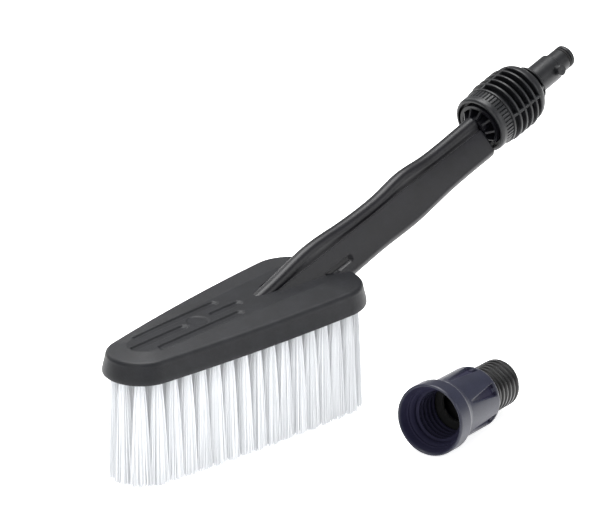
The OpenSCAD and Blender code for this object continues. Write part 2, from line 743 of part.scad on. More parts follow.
head_cover();
handle_top_shell();
handle_bottom_shell();
handle_coupler();
water_tube();
tube_seal_upper();
tube_seal_lower();
bristle_plate();
plate_gasket();
plate_screws();
tufts_outer_row();
tufts_second_row();
tufts_inner_rows();
tuft_anchors();
seal_washer();
bayonet_spigot();
grip_cage();
spigot_o_ring();
adapter_nipple();
adapter_swivel_seal();
adapter_bell();
adapter_seat_seal();
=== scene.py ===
"""Looks of a water-fed wash brush with a bayonet connector and a loose thread adapter.

Lengths are in millimetres in the shape code, and become metres when a mesh is made. The origin is on
the floor under the middle of the head: +X runs to the head's rear and the handle, +Z is up.
"""

import json
import math

import bmesh
import bpy
import numpy as np
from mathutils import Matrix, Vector


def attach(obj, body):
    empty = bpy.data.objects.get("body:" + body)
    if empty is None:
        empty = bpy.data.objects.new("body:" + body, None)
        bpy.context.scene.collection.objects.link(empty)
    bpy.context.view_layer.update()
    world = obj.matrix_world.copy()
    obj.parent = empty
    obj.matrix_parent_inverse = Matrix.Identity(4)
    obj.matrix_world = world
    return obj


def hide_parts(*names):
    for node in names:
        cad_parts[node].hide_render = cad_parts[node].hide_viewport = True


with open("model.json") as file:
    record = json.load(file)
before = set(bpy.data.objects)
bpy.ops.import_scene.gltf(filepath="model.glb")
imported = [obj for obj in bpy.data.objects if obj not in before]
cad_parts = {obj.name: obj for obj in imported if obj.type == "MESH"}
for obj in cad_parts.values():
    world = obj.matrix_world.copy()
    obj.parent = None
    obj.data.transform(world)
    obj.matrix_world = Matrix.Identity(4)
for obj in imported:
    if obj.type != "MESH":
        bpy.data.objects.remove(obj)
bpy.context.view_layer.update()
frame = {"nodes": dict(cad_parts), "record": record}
rng = np.random.default_rng(7)

# Sizes, as in the part's source
HEAD_LEN, HEAD_W = 192.0, 75.0
NOSE_R, CORNER_R, REAR_R, SIDE_R = 21.0, 26.5, 63.0, 1280.0
BRISTLE_LEN, SIDE_H, LEAN, EDGE_R, CROWN = 65.5, 13.6, 2.0, 3.0, 2.3
RIM_Z = BRISTLE_LEN
TOP_Z = RIM_Z + SIDE_H
PLATE_Z = RIM_Z + 1.0
PITCH, INSET = 10.5, 5.6
ANGLE = math.radians(15.0)
HANDLE_LEN, FOOT_X, AXIS_Z = 164.5, 70.0, TOP_Z + 6.5
CLOCK = math.radians(-14.4)
CASING_END = HANDLE_LEN - 4.5
FLANGE_R, BELL_R, BELL_LEN, FLANGE_LEN = 22.0, 19.0, 53.0, 13.0
ADAPTER_PITCH = 4.2


def smooth(t):
    """3t^2 - 2t^3 on 0..1, flat outside."""
    c = np.clip(t, 0.0, 1.0)
    return c * c * (3 - 2 * c)


def bump(t):
    """exp(-t^2)."""
    return np.exp(-np.square(t))


# ---------------------------------------------------------------- frames of reference
def handle_frame(p):
    """(across, up, s) -> space: s runs along the handle's axis from its foot, up is square to it."""
    y, u, s = p[..., 0], p[..., 1], p[..., 2]
    return np.stack([FOOT_X + s * math.cos(ANGLE) - u * math.sin(ANGLE), y,
                     AXIS_Z + s * math.sin(ANGLE) + u * math.cos(ANGLE)], -1)


def connector_frame(p):
    """(x, y, e) about the handle's axis, e beyond the handle's end, turned by the connector's clock."""
    x = p[..., 0] * math.cos(CLOCK) - p[..., 1] * math.sin(CLOCK)
    y = p[..., 0] * math.sin(CLOCK) + p[..., 1] * math.cos(CLOCK)
    return handle_frame(np.stack([y, -x, p[..., 2] + HANDLE_LEN], -1))


TILT = math.atan((FLANGE_R - BELL_R) / (BELL_LEN - 3.5 - FLANGE_LEN + 2))
TURN = math.radians(9.0)


def adapter_frame(p):
    """(x, y, e) about the adapter's axis, e from its mouth; it lies on its flange and its body's end."""
    x, y, z = p[..., 2] - FLANGE_LEN + 2, p[..., 1], FLANGE_R - p[..., 0]
    x, z = x * math.cos(TILT) + z * math.sin(TILT), z * math.cos(TILT) - x * math.sin(TILT)
    return np.stack([63 + x * math.cos(TURN) - y * math.sin(TURN),
                     -107.5 + x * math.sin(TURN) + y * math.cos(TURN), z], -1)


# ---------------------------------------------------------------- meshes
def mesh(name, verts, faces, body, material, replaces=(), slot=None, bevel=None, sharp=35, weld=False):
    """Object from points in mm and face index arrays, riding on a body."""
    data = bpy.data.meshes.new(name)
    data.from_pydata((np.asarray(verts, float) / 1000).tolist(), [], [list(map(int, f)) for f in faces])
    data.validate()
    obj = bpy.data.objects.new(name, data)
    bpy.context.scene.collection.objects.link(obj)
    if weld:
        bm = bmesh.new()
        bm.from_mesh(data)
        bmesh.ops.remove_doubles(bm, verts=bm.verts, dist=1e-6)
        bmesh.ops.recalc_face_normals(bm, faces=bm.faces)
        bm.to_mesh(data)
        bm.free()
    data.shade_smooth()
    data.set_sharp_from_angle(angle=math.radians(sharp))
    if bevel:
        mod = obj.modifiers.new("edges", "BEVEL")
        mod.width, mod.segments, mod.limit_method, mod.angle_limit = bevel / 1000, 2, "ANGLE", math.radians(40)
    data.materials.append(material)
    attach(obj, body)
    if replaces:
        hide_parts(*replaces)
    return obj


def grid_faces(rows, cols, wrap_rows=False, wrap_cols=True, start=0):
    """Quads over a grid of rows x cols points, closed round either way when asked."""
    i = np.arange(rows if wrap_rows else rows - 1)[:, None]
    j = np.arange(cols if wrap_cols else cols - 1)[None, :]
    i2, j2 = (i + 1) % rows, (j + 1) % cols
    quads = np.stack(np.broadcast_arrays(i * cols + j, i * cols + j2, i2 * cols + j2, i2 * cols + j), -1)
    return (quads.reshape(-1, 4) + start).tolist()


def rounded(profile, radius=0.5, steps=4):
    """Profile with each corner between its ends cut by a quadratic arc that starts radius before it."""
    pts = [np.asarray(profile[0], float)]
    for a, b, c in zip(profile[:-2], profile[1:-1], profile[2:]):
        a, b, c = np.asarray(a, float), np.asarray(b, float), np.asarray(c, float)
        la, lc = np.linalg.norm(a - b), np.linalg.norm(c - b)
        r = min(radius, 0.45 * la, 0.45 * lc)
        p, q = b + (a - b) / la * r, b + (c - b) / lc * r
        for t in np.linspace(0, 1, steps + 1):
            pts.append((1 - t) ** 2 * p + 2 * t * (1 - t) * b + t * t * q)
    pts.append(np.asarray(profile[-1], float))
    return np.array(pts)


def spin(profile, count, place, ripple=None):
    """(r, e) profile turned about the axis, as (r cos a, r sin a, e); ripple(a, r, e) adds to r."""
    a = np.linspace(0, 2 * math.pi, count, endpoint=False)
    r = np.repeat(profile[:, 0][:, None], count, 1)
    e = np.repeat(profile[:, 1][:, None], count, 1)
    aa = np.repeat(a[None, :], len(profile), 0)
    if ripple is not None:
        r = r + ripple(aa, r, e)
    return place(np.stack([r * np.cos(aa), r * np.sin(aa), e], -1)).reshape(-1, 3)


# ---------------------------------------------------------------- the head's outline
def _outline_arcs():
    """Nose, side, corner and rear arcs, each tangent to the next: (centre, radius, from, to)."""
    b = HEAD_W / 2 - CORNER_R
    q = np.array([HEAD_LEN / 2 - REAR_R, 0])
    a = np.array([NOSE_R - HEAD_LEN / 2, 0])
    c = np.array([q[0] + math.sqrt((REAR_R - CORNER_R) ** 2 - b * b), b])
    d = np.linalg.norm(c - a)
    r0, r1 = SIDE_R - NOSE_R, SIDE_R - CORNER_R
    t = (r0 * r0 - r1 * r1 + d * d) / (2 * d)
    h = math.sqrt(r0 * r0 - t * t)
    e = (c - a) / d
    s = a + t * e + h * np.array([e[1], -e[0]])
    t1, t2, t3 = (math.atan2(p[1], p[0]) for p in (a - s, c - s, c - q))
    return [(a, NOSE_R, math.pi, t1), (s, SIDE_R, t1, t2), (c, CORNER_R, t2, t3), (q, REAR_R, t3, 0.0)]


ARCS = _outline_arcs()


def along(distance, off):
    """Points at given distances from the nose along the half outline grown by off."""
    lengths = np.array([(r + off) * (a0 - a1) for _, r, a0, a1 in ARCS])
    starts = np.concatenate([[0], np.cumsum(lengths)[:-1]])
    d = np.atleast_1d(np.asarray(distance, float))
    k = np.clip(np.searchsorted(starts, d, side="right") - 1, 0, 3)
    out = np.zeros((len(d), 2))
    for n, (c, r, a0, a1) in enumerate(ARCS):
        f = np.clip((d - starts[n]) / lengths[n], 0, 1)
        a = a0 + (a1 - a0) * f
        p = np.stack([c[0] + (r + off) * np.cos(a), c[1] + (r + off) * np.sin(a)], -1)
        out[k == n] = p[k == n]
    return out, lengths.sum()


def outline(off, per_arc=(60, 150, 60, 40)):
    """Whole outline grown by off, anticlockwise from the rear, with the same steps at every offset."""
    pts = []
    for (c, r, a0, a1), n in zip(ARCS, per_arc):
        a = a0 + (a1 - a0) * np.arange(n) / n
        pts.append(np.stack([c[0] + (r + off) * np.cos(a), c[1] + (r + off) * np.sin(a)], -1))
    pts.append(np.array([[ARCS[3][0][0] + ARCS[3][1] + off, 0.0]]))
    half = np.concatenate(pts)
    return np.concatenate([half[::-1], half[1:-1] * [1, -1]])


# ---------------------------------------------------------------- materials
class Sock:
    """A shader socket that takes part in arithmetic, inside one material's node tree."""

    def __init__(self, tree, out):
        self.tree, self.out = tree, out

    def node(self, kind, inputs=None, out=0, **props):
        """Adds any node, sets its properties and inputs, and returns one of its outputs."""
        n = self.tree.nodes.new(kind)
        for key, value in props.items():
            setattr(n, key, value)
        for key, value in (inputs or {}).items():
            if isinstance(value, Sock):
                self.tree.links.new(value.out, n.inputs[key])
            else:
                n.inputs[key].default_value = value
        return Sock(self.tree, n.outputs[out])

    def _math(self, op, a, b=None, clamp=False):
        return self.node("ShaderNodeMath", {0: a} if b is None else {0: a, 1: b}, operation=op, use_clamp=clamp)

    def __add__(self, o): return self._math("ADD", self, o)
    def __radd__(self, o): return self._math("ADD", o, self)
    def __sub__(self, o): return self._math("SUBTRACT", self, o)
    def __rsub__(self, o): return self._math("SUBTRACT", o, self)
    def __mul__(self, o): return self._math("MULTIPLY", self, o)
    def __rmul__(self, o): return self._math("MULTIPLY", o, self)
    def __truediv__(self, o): return self._math("DIVIDE", self, o)
    def __rtruediv__(self, o): return self._math("DIVIDE", o, self)
    def __pow__(self, o): return self._math("POWER", self, o)
    def clamp(self): return self._math("ADD", self, 0.0, clamp=True)

    def noise(self, scale, detail=3.0, rough=0.55):
        """Noise of 0..1 over this vector, scale in features per metre."""
        return self.node("ShaderNodeTexNoise", {"Vector": self, "Scale": scale, "Detail": detail,
                                                "Roughness": rough})

    def ramp(self, low, high):
        """0 below low, 1 above high, smooth between."""
        return self.node("ShaderNodeMapRange", {"Value": self, "From Min": low, "From Max": high},
                         interpolation_type="SMOOTHSTEP")

    def mix(self, a, b):
        """Colour a where this is 0, b where it is 1."""
        return self.node("ShaderNodeMix", {0: self, 6: a, 7: b}, out=2, data_type="RGBA")


def colour(r, g, b):
    """Linear colour from display values 0..255."""
    return tuple(((v / 255 + 0.055) / 1.055) ** 2.4 if v > 10 else v / 255 / 12.92 for v in (r, g, b)) + (1.0,)


def new_material(name):
    """Empty material: its tree's first socket (Object coordinates) and its Principled node."""
    mat = bpy.data.materials.new(name)
    mat.use_nodes = True
    tree = mat.node_tree
    tree.nodes.clear()
    bsdf = tree.nodes.new("ShaderNodeBsdfPrincipled")
    out = tree.nodes.new("ShaderNodeOutputMaterial")
    tree.links.new(bsdf.outputs[0], out.inputs[0])
    coords = Sock(tree, tree.nodes.new("ShaderNodeTexCoord").outputs["Object"])
    return mat, coords, bsdf


def plug(bsdf, **values):
    """Links or sets inputs of the Principled node, named with _ for a blank."""
    for key, value in values.items():
        socket = bsdf.inputs[key.replace("_", " ")]
        if isinstance(value, Sock):
            value.tree.links.new(value.out, socket)
        else:
            socket.default_value = value


def plastic(name, dark, light, rough, grain, grain_depth=0.02, spec=0.5, deep_shade=None):
    """Moulded plastic: two tones in soft patches, a fine spark-eroded grain, faint scuffs.

    grain is the grain's features per metre, and grain_depth its height in mm. Where the attribute "inside" is 1
    the colour goes to a darker colour, painted shade for the inside of a hollow, and the roughness rises by
    0.4.
    """
    mat, at, bsdf = new_material(name)
    patches = at.noise(90.0, 4.0).ramp(0.3, 0.7)
    fine = at.noise(grain, 2.0, 0.6)
    speck = at.noise(grain * 0.45, 3.0, 0.7).ramp(0.35, 0.75)
    scuff = at.noise(420.0, 6.0, 0.72).ramp(0.62, 0.7)
    tone = (patches * 0.55 + speck * 0.45 + scuff * 0.12).clamp()
    height = fine + speck * 0.5
    normal = at.node("ShaderNodeBump", {"Height": height, "Strength": 1.0, "Distance": grain_depth / 1000})
    base = tone.mix(dark, light)
    # Painted shade: where "inside" is 1 the colour goes darker, as shade in a hollow.
    if deep_shade:
        inside = at.node("ShaderNodeAttribute", out=2, attribute_name="inside")
        base, rough = inside.mix(base, deep_shade), inside * 0.4 + rough
    plug(bsdf, Base_Color=base, Roughness=(rough + (fine - 0.5) * 0.16 + scuff * 0.07).clamp(),
         Normal=normal, Specular_IOR_Level=spec)
    return mat


def bristle_material():
    """Clear nylon: white, slightly translucent, with each filament's tone from its own attribute; light through
    the nylon is a painted glow, and painted shade darkens the filaments towards the plate.
    """
    mat, at, bsdf = new_material("bristle_nylon")
    shade = at.node("ShaderNodeAttribute", out=2, attribute_name="shade")
    rise = at.node("ShaderNodeSeparateXYZ", {0: at}, out=2)
    # Painted shade: 0 below 45 mm and 1 at the rim, darkening the filaments up under the head.
    deep_shade = rise.ramp(0.045, 0.0655)
    tone = (shade * 0.75 + at.noise(900.0, 2.0) * 0.25).clamp()
    base = tone.mix(colour(188, 191, 194), colour(220, 222, 225))
    fine = at.noise(6000.0, 2.0)
    # Painted light: the white emission is a glow that lifts the shade between the tufts.
    plug(bsdf, Base_Color=(deep_shade * 0.35).mix(base, colour(140, 143, 148)), Roughness=(0.32 + fine * 0.2).clamp(),
         Normal=at.node("ShaderNodeBump", {"Height": fine, "Strength": 0.4, "Distance": 0.00002}),
         Emission_Color=(1.0, 1.0, 1.0, 1.0), Emission_Strength=0.12, Specular_IOR_Level=0.2)
    return mat


def metal(name, tone, rough):
    """Drawn or plated metal with fine brushing and faint dulling."""
    mat, at, bsdf = new_material(name)
    dull = at.noise(300.0, 5.0).ramp(0.4, 0.7)
    fine = at.noise(5000.0, 3.0)
    plug(bsdf, Base_Color=(dull * 0.5).mix(tone, colour(120, 120, 122)), Metallic=1.0,
         Roughness=(rough + dull * 0.15 + (fine - 0.5) * 0.1).clamp(),
         Normal=at.node("ShaderNodeBump", {"Height": fine, "Strength": 0.5, "Distance": 0.00001}))
    return mat


COVER = plastic("cover_grain", colour(14, 15, 18), colour(25, 26, 30), 0.48, 2600.0, 0.045, spec=0.24)
HANDLE = plastic("handle_plastic", colour(11, 11, 14), colour(18, 18, 23), 0.38, 3000.0, 0.02, spec=0.24)
CAGE = plastic("connector_plastic", colour(15, 16, 18), colour(24, 25, 28), 0.4, 3200.0, 0.02, spec=0.32)
INNER = plastic("inner_plastic", colour(14, 14, 15), colour(22, 22, 23), 0.5, 3000.0, 0.02, spec=0.3)
# The bell's inside takes a darker painted shade colour.
BELL = plastic("bell_plastic", colour(22, 24, 39), colour(31, 33, 49), 0.38, 3200.0, 0.015, spec=0.34,
               deep_shade=colour(8, 6, 36))
NIPPLE = plastic("nipple_plastic", colour(10, 10, 11), colour(18, 18, 19), 0.3, 3200.0, 0.015, spec=0.4)
RUBBER = plastic("seal_rubber", colour(10, 10, 11), colour(18, 18, 19), 0.62, 2400.0, 0.03, spec=0.3)
TUBE = plastic("tube_plastic", colour(205, 207, 208), colour(225, 226, 227), 0.4, 2400.0, 0.02)
STEEL = metal("screw_steel", colour(196, 197, 200), 0.3)
BRISTLE = bristle_material()
BY_SLOT = {
    "cover_plastic": COVER, "handle_plastic": HANDLE, "plate_plastic": INNER, "tube_plastic": TUBE,
    "seal_rubber": RUBBER, "screw_steel": STEEL, "anchor_steel": STEEL, "bristle": BRISTLE,
    "connector_plastic": CAGE, "nipple_plastic": NIPPLE, "bell_plastic": BELL,
}
slots = {p["node"]: p["material_slot"] for p in frame["record"]["subparts"]}
for node_name, node_obj in frame["nodes"].items():
    node_obj.data.materials.clear()
    node_obj.data.materials.append(BY_SLOT[slots[node_name]])


# ---------------------------------------------------------------- head cover
def slot_distance(x, y, x0, x1, y0, w):
    """Signed distance to a round-ended slot of width w along X from x0 to x1."""
    cx = np.clip(x, x0 + w / 2, x1 - w / 2)
    return np.hypot(x - cx, y - y0) - w / 2


def head_cover():
    """Shell of rings: inner wall, rim, side, rounded edge, then the crown to the middle line.

    Crown height: CROWN * f(k / 0.48), f linear with a rounded shoulder, k from 0 at the edge to 1 at the
    middle line; each recess lowers it by up to 1.1 mm with soft walls.
    """
    rings = []

    def flat(off, z):
        line = outline(off)
        rings.append(np.column_stack([line, np.full(len(line), z)]))

    flat(-1.6, RIM_Z + 6.5)
    flat(-1.6, RIM_Z + 0.5)
    for t in np.linspace(0, 1, 5):
        flat(-1.1 - 0.5 * math.cos(t * math.pi / 2), RIM_Z + 0.5 * (1 - math.sin(t * math.pi / 2)))
    flat(0.6, RIM_Z)
    for t in np.linspace(0, 1, 6):
        flat(LEAN - 1.1 + 1.1 * math.sin(t * math.pi / 2), RIM_Z + 1.1 * (1 - math.cos(t * math.pi / 2)))
    flat(LEAN - 0.05, RIM_Z + 2.2)
    side_top = TOP_Z - EDGE_R
    for t in np.linspace(0.15, 0.97, 10):
        flat(LEAN * (1 - t), RIM_Z + 2.2 + (side_top - RIM_Z - 2.2) * t)
    for t in np.linspace(0, 1, 10):
        a = t * math.radians(80)
        flat(EDGE_R * (math.cos(a) - 1), side_top + EDGE_R * math.sin(a))
    edge = rings[-1]
    n = len(edge)
    mid_x = np.clip(edge[:, 0], -HEAD_LEN / 2 + 24, HEAD_LEN / 2 - 40)
    ks = np.linspace(0, 1, 86)[1:]
    for k in ks:
        x = edge[:, 0] * (1 - k) + mid_x * k
        y = edge[:, 1] * (1 - k)
        u = k / 0.48
        shoulder = 0.06
        bend = 1 - (1 + shoulder - u) ** 2 / (4 * shoulder)
        f = np.where(u < 1 - shoulder, u, np.where(u > 1 + shoulder, 1.0, bend))
        z = edge[:, 2] + (TOP_Z + CROWN - edge[:, 2]) * f
        d = np.minimum.reduce([
            slot_distance(x, np.abs(y), -70.0, 0.5, 10.35, 5.0),
            slot_distance(x, y, -82.5, -36.5, 0.0, 5.0),
            slot_distance(x, y, -15.4, 10.6, 0.0, 5.0),
        ])
        disc = np.hypot(x + 26.9, y) - 6.5
        z = z - 1.1 * (1 - smooth((d + 0.45) / 0.9)) - 0.45 * (1 - smooth((disc + 0.4) / 0.8)) * (d > 0)
        rings.append(np.column_stack([x, y, z]))
    grid = np.stack(rings)
    faces = grid_faces(len(rings), n)
    first = list(range(n))[::-1]
    return mesh("head_cover_shell", grid.reshape(-1, 3), faces + [first], "brush_body", COVER,
                replaces=("head_cover",), slot="cover_plastic", weld=True, sharp=50)


# ---------------------------------------------------------------- handle
def spine_top(s):
    return (9 + 2.7 * bump((s - 90) / 17) + 3.6 * bump((s - 3) / 29) + 0.7 * smooth((s - 120) / 45)
            + 0.02 * np.minimum(s, 0))


def depth(s):
    return 16.7 + 2.3 * bump((s - 86) / 27) + 3.4 * (1 - smooth(s / 110))


def half_w(s):
    return 14.9 + 0.5 * bump((s - 86) / 27) + 0.5 * (1 - smooth(s / 110))


def ridge_h(s):
    return 4.8 - 2.3 * s / HANDLE_LEN + 0.8 * bump((s - 88) / 22)


def lower_half(s, w):
    """Half section from the bottom round the corner and up the bowed side to the ridge line.

    Outside, a slot 3.2 mm tall and 22 mm long is sunk 2 mm into the side where it meets the head.
    """
    r = 7.0
    a = np.linspace(-90, 0, 12) * math.pi / 180
    corner = np.stack([half_w(s) - r + (r - w) * np.cos(a), r - depth(s) + (r - w) * np.sin(a)], -1)
    t = np.linspace(0, 1, 34)[1:, None]
    a0, a1 = corner[-1], np.array([6.6 - w, ridge_h(s) - w])
    side = a0 * (1 - t) + a1 * t + np.array([1.0, 0.35]) * (0.8 * t * (1 - t) * 2)
    if w < 2.0:
        slot = smooth((1.9 - np.abs(side[:, 1] + 6)) / 0.5) * smooth((11.5 - abs(s - 14)) / 1.2)
        side[:, 0] -= 2.0 * slot
    flat = np.stack([np.linspace(0, half_w(s) - r, 6)[:-1], np.full(5, w - depth(s))], -1)
    return np.concatenate([flat, corner, side])


def upper_half(s, w):
    """Half section from the ridge, down into the groove and over the round spine."""
    top = spine_top(s)
    a = np.linspace(-8, 90, 16) * math.pi / 180
    spine = np.stack([(4.6 - w) * np.cos(a), top - 4.6 + (4.6 - w) * np.sin(a)], -1)
    start = np.array([6.6 - w, ridge_h(s) - w])
    low = np.array([4.9 - w / 2, ridge_h(s) - 1.9 - w])
    t = np.linspace(0, 1, 12)[:, None]
    mid = (1 - t) ** 2 * start + 2 * t * (1 - t) * low + t * t * spine[0]
    return np.concatenate([mid[:-1], spine])


def both_sides(half):
    """Half section and its mirror image, in one path from side to side."""
    m = half[::-1] * [-1, 1]
    return np.concatenate([m[:-1] if abs(half[0][0]) < 1e-6 and abs(m[-1][0]) < 1e-6 else m, half])


def handle_shell(name, half, wall, node, start):
    """Shell lofted along the axis: outer path, then the same path moved in by the wall.

    Over its last 1.6 mm the outer path moves in by 1.6 - sqrt(1.6^2 - t^2), which rounds the end. Where
    it runs inside the head it is kept above the bristle plate.
    """
    stations = np.concatenate([np.linspace(start, CASING_END - 1.6, 170),
                               CASING_END - 1.6 + 1.6 * np.sin(np.linspace(0.2, 1.57, 7))])
    rings = []
    for s in stations:
        t = max(0.0, s - CASING_END + 1.6)
        outer, inner = half(s, 1.6 - math.sqrt(max(0.0, 1.6 ** 2 - t * t)) if t else 0.0), half(s, wall)
        if abs(outer[0][0]) < 1e-6:
            o, i = both_sides(outer), both_sides(inner)
        else:
            o = np.concatenate([outer, (outer[:-1] * [-1, 1])[::-1]])
            i = np.concatenate([inner, (inner[:-1] * [-1, 1])[::-1]])
        path = np.concatenate([o, i[::-1]])
        ring = handle_frame(np.column_stack([path, np.full(len(path), s)]))
        lowest = RIM_Z + 7.6 - 7.6 * smooth((ring[:, 0] - 78) / 12)
        ring[:, 2] = np.maximum(ring[:, 2], lowest)
        rings.append(ring)
    grid = np.stack(rings)
    n = grid.shape[1]
    faces = grid_faces(len(rings), n)
    m = n // 2
    cap = [[i, i + 1, n - 2 - i, n - 1 - i] for i in range(m - 1)]
    last = (len(rings) - 1) * n
    faces += [c[::-1] for c in cap] + [[v + last for v in c] for c in cap]
    return mesh(name, grid.reshape(-1, 3), faces, "brush_body", HANDLE, replaces=(node,), slot="handle_plastic",
                weld=True, sharp=50)


# ---------------------------------------------------------------- bristles
def tuft_places():
    """Outer and second rows along the outline, and straight staggered rows inside them."""
    def loop(off):
        _, size = along(0, off)
        count = int(round(size / PITCH))
        half, _ = along(size * np.arange(count + 1) / count, off)
        return np.concatenate([half, half[1:-1] * [1, -1]])

    gap = 0.88 * PITCH
    outer, second = loop(-INSET), loop(-INSET - gap)
    third = outline(-INSET - 2 * gap)
    edge = third[(third[:, 1] > 0) & (third[:, 0] > -70)]
    edge = edge[np.argsort(edge[:, 0])]
    screws = np.array([[PITCH * (4 * i - 5), 0] for i in range(3)])
    inner = []
    for k in range(-5, 6):
        y = k * gap
        for i in range(-10, 11):
            p = np.array([(i + (0 if k % 2 == 0 else 0.5)) * PITCH, y])
            side = np.interp(p[0], edge[:, 0], edge[:, 1])
            if (-75 < p[0] < 96 - INSET - 2 * gap and side > abs(y)
                    and np.linalg.norm(screws - p, axis=1).min() > 7.3
                    and np.linalg.norm(second - p, axis=1).min() > 8.7):
                inner.append(p)
    return outer, second, np.array(inner)


def keep_inside(tips):
    """Pulls tips that would stand outside the brush's outline, grown by -0.7, back to it."""
    ring = outline(-0.7, (40, 60, 30, 20))
    ring = ring[ring[:, 1] >= 0]
    ring = ring[np.argsort(ring[:, 0])]
    limit = np.interp(tips[:, 0], ring[:, 0], ring[:, 1])
    out = tips.copy()
    out[:, 0] = np.clip(out[:, 0], ring[0, 0] + 0.3, ring[-1, 0] - 0.3)
    over = np.abs(out[:, 1]) > limit
    out[over, 1] = np.sign(out[over, 1]) * limit[over]
    return out


def tufts(name, places, per_tuft, node, width=0.3, spread=6.3):
    """Filaments: triangular tubes from a sunflower of roots to a wider one at the tips.

    A filament's centre at share t of its length is root + (tip - root) * t^0.7 plus a small
    bow; its radius is width, and its tip ends up to 1.6 mm above the floor.
    """
    steps, sides = 6, 3
    count = len(places) * per_tuft
    j = np.tile(np.arange(per_tuft), len(places))
    turn = j * 2.399963 + np.repeat(rng.uniform(0, 6.28, len(places)), per_tuft)
    share = np.sqrt((j + 0.5) / per_tuft)
    centre = np.repeat(places, per_tuft, 0)
    ring = np.stack([np.cos(turn), np.sin(turn)], -1)
    root = centre + ring * (2.2 * share)[:, None]
    tip = centre + ring * (spread * share)[:, None] + rng.normal(0, 0.3, (count, 2))
    reach = np.linalg.norm(tip - centre, axis=1)
    tip = centre + (tip - centre) * np.minimum(1, (spread + 0.4) / np.maximum(reach, 1e-6))[:, None]
    tip = keep_inside(tip)
    end = rng.uniform(0, 1, count) ** 2 * 1.6 + 0.05
    bow = rng.normal(0, 0.18, (count, 2))
    t = np.linspace(0, 1, steps)[None, :, None]
    xy = root[:, None] + (tip - root)[:, None] * t ** 0.7 + bow[:, None] * np.sin(math.pi * t)
    z = (PLATE_Z + 2.0) + (end - PLATE_Z - 2.0)[:, None] * t[..., 0]
    a = np.arange(sides) * 2 * math.pi / sides + rng.uniform(0, 2, count)[:, None]
    circle = np.stack([np.cos(a), np.sin(a)], -1) * width
    ring_xy = xy[:, :, None, :] + circle[:, None, :, :]
    verts = np.concatenate([ring_xy, np.broadcast_to(z[:, :, None, None], ring_xy.shape[:3] + (1,))], -1)
    verts = verts.reshape(-1, 3)
    base = (np.arange(count) * steps * sides)[:, None, None, None]
    i = np.arange(steps - 1)[None, :, None, None] * sides
    k = np.arange(sides)[None, None, :, None]
    k2 = (k + 1) % sides
    quads = np.concatenate(np.broadcast_arrays(base + i + k, base + i + sides + k,
                                               base + i + sides + k2, base + i + k2), -1)
    quads = quads.reshape(-1, 4)
    tip_faces = (np.arange(count) * steps * sides)[:, None] + (steps - 1) * sides + np.arange(sides)[None, :]
    root_faces = (np.arange(count) * steps * sides)[:, None] + np.arange(sides)[None, :]
    data_faces = quads.tolist() + tip_faces[:, ::-1].tolist() + root_faces.tolist()
    obj = mesh(name, verts, data_faces, "brush_body", BRISTLE, replaces=(node,), slot="bristle", sharp=60)
    tone = np.repeat(rng.uniform(0, 1, count), steps * sides)
    attr = obj.data.attributes.new("shade", "FLOAT", "POINT")
    attr.data.foreach_set("value", tone.astype(np.float32))
    return obj


head_cover()
handle_shell("handle_upper", upper_half, 2.4, "handle_top_shell", -58.0)
handle_shell("handle_lower", lower_half, 2.4, "handle_bottom_shell", -58.0)
outer_row, second_row, inner_rows = tuft_places()
tufts("bristles_outer", outer_row, 150, "tufts_outer_row")
tufts("bristles_second", second_row, 90, "tufts_second_row")
tufts("bristles_inner", inner_rows, 70, "tufts_inner_rows")

# ---------------------------------------------------------------- connector
RINGS_E = [11.5 + 5.4 * i for i in range(5)]
BAND_E, NOSE_E, SHOULDER_E, TIP_E = 38.5, 50.1, 73.7, 88.3


def joined(parts):
    """Several (points, faces) as one."""
    verts, faces, start = [], [], 0
    for v, f in parts:
        verts.append(v)
        faces += [[k + start for k in face] for face in f]
        start += len(v)
    return np.concatenate(verts), faces


def revolved(profile, place, count=160, radius=0.5, ripple=None):
    """Closed (r, e) profile with rounded corners, turned about the axis, as (points, faces)."""
    pts = [tuple(map(float, q)) for q in profile]
    middle = tuple((np.array(pts[0]) + np.array(pts[-1])) / 2)
    line = rounded([middle] + pts + [middle], radius)[:-1] if radius else np.array(pts)
    return spin(line, count, place, ripple), grid_faces(len(line), count, wrap_rows=True)


def prism(points, half, place, turn):
    """(r, e) polygon thickened by half each way across, turned about the axis."""
    q = np.array(points, float)
    layers = [np.column_stack([q[:, 0], np.full(len(q), w), q[:, 1]]) for w in (-half, half)]
    v = np.concatenate(layers)
    c, s = math.cos(turn), math.sin(turn)
    v = np.column_stack([v[:, 0] * c - v[:, 1] * s, v[:, 0] * s + v[:, 1] * c, v[:, 2]])
    n = len(q)
    faces = [list(range(n)), list(range(2 * n - 1, n - 1, -1))]
    faces += [[(i + 1) % n, i, i + n, (i + 1) % n + n] for i in range(n)]
    return place(v), faces


def knurl(a, r, e):
    """Round-bottomed grooves: -0.8 * max(0, cos 48a)^1.5 on the rim, faded at its ends."""
    fade = smooth((e - 4.9) / 0.5) * smooth((11.6 - e) / 0.5) * smooth((r - 17.9) / 0.6)
    return -0.8 * np.maximum(0, np.cos(48 * a)) ** 1.5 * fade


